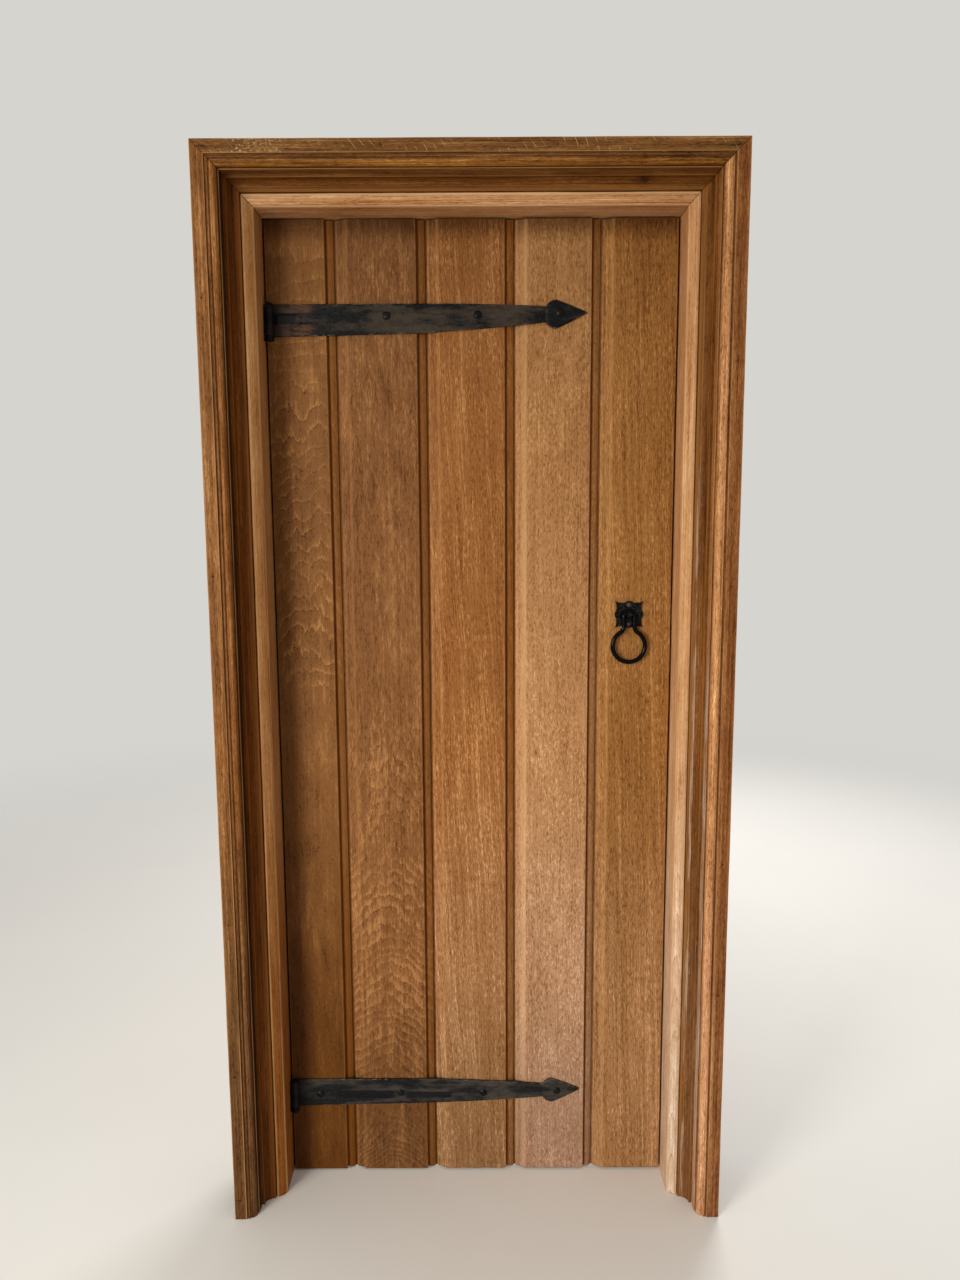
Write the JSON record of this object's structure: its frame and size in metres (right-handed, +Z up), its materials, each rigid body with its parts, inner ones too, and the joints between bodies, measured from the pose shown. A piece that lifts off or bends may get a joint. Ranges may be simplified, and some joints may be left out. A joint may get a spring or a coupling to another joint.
{
  "type": "ledged and braced door",
  "caption": "Boarded oak door with ledges and braces, strap hinges and a ring pull, hung in a moulded oak frame with its architrave.",
  "frame": {"origin": "middle of the doorway on the floor, halfway through the depth of the frame", "axes": "+X to the right and +Z up, seen from the side with the strap hinges; +Y through the doorway, away from that side"},
  "size_m": [0.945, 0.19, 1.9915],
  "materials": {
    "oak_architrave": "aged oak, waxed, worn, satin",
    "oak_frame": "dark aged oak, satin",
    "oak_lining": "new oak, pale, satin",
    "oak_stop": "oak, satin",
    "oak_board_1": "waxed oak with ray figure",
    "oak_board_2": "waxed oak with ray figure",
    "oak_board_3": "waxed oak, straight grain",
    "oak_board_4": "waxed oak, straight grain, lighter",
    "oak_board_5": "waxed oak, fine grain",
    "oak_ledge": "waxed oak",
    "forged_iron": "forged black iron, matt, rusted in places",
    "black_iron": "black, satin gloss",
    "screw_steel": "zinc plated, dull",
    "dark_steel": "dark, oxidised",
    "brass": "dull brass"
  },
  "bodies": {
    "frame": {"architrave_left": "oak_architrave", "architrave_right": "oak_architrave", "architrave_head": "oak_architrave", "architrave_brads": "dark_steel", "frame_post_left": "oak_frame", "frame_post_right": "oak_frame", "frame_head": "oak_frame", "lining_left": "oak_lining", "lining_right": "oak_lining", "lining_head": "oak_lining", "stop_left": "oak_stop", "stop_right": "oak_stop", "stop_head": "oak_stop", "pintle_top": "forged_iron", "pintle_bottom": "forged_iron", "strike_plate": "brass", "strike_screws": "brass"},
    "door": {"board_1": "oak_board_1", "board_2": "oak_board_2", "board_3": "oak_board_3", "board_4": "oak_board_4", "board_5": "oak_board_5", "ledge_top": "oak_ledge", "ledge_middle": "oak_ledge", "ledge_bottom": "oak_ledge", "brace_lower": "oak_ledge", "brace_upper": "oak_ledge", "ledge_screws": "screw_steel", "strap_top": "forged_iron", "strap_bottom": "forged_iron", "strap_nails_top": "forged_iron", "strap_nails_bottom": "forged_iron", "ring_plate": "black_iron", "ring_plate_screws": "black_iron", "catch_case": "brass", "catch_spring": "screw_steel"},
    "ring": {"ring_handle": "black_iron"},
    "catch_ball": {"catch_ball": "screw_steel"}
  },
  "joints": [
    {"name": "door_swing", "type": "hinge", "parent": "frame", "child": "door", "pos_m": [-0.37402, 0.03492, 0.9], "axis": [0, 0, -1], "range_deg": [0, 95]},
    {"name": "ring_lift", "type": "hinge", "parent": "door", "child": "ring", "pos_m": [0.2995, 0.0358, 1.172], "axis": [-1, 0, 0], "range_deg": [0, 170]},
    {"name": "ball_press", "type": "slide", "parent": "door", "child": "catch_ball", "axis": [-1, 0, 0], "range_m": [0, 0.0022], "stiffness_N_per_m": 1500, "springref_m": -0.003, "deforming": ["catch_spring"]}
  ]
}
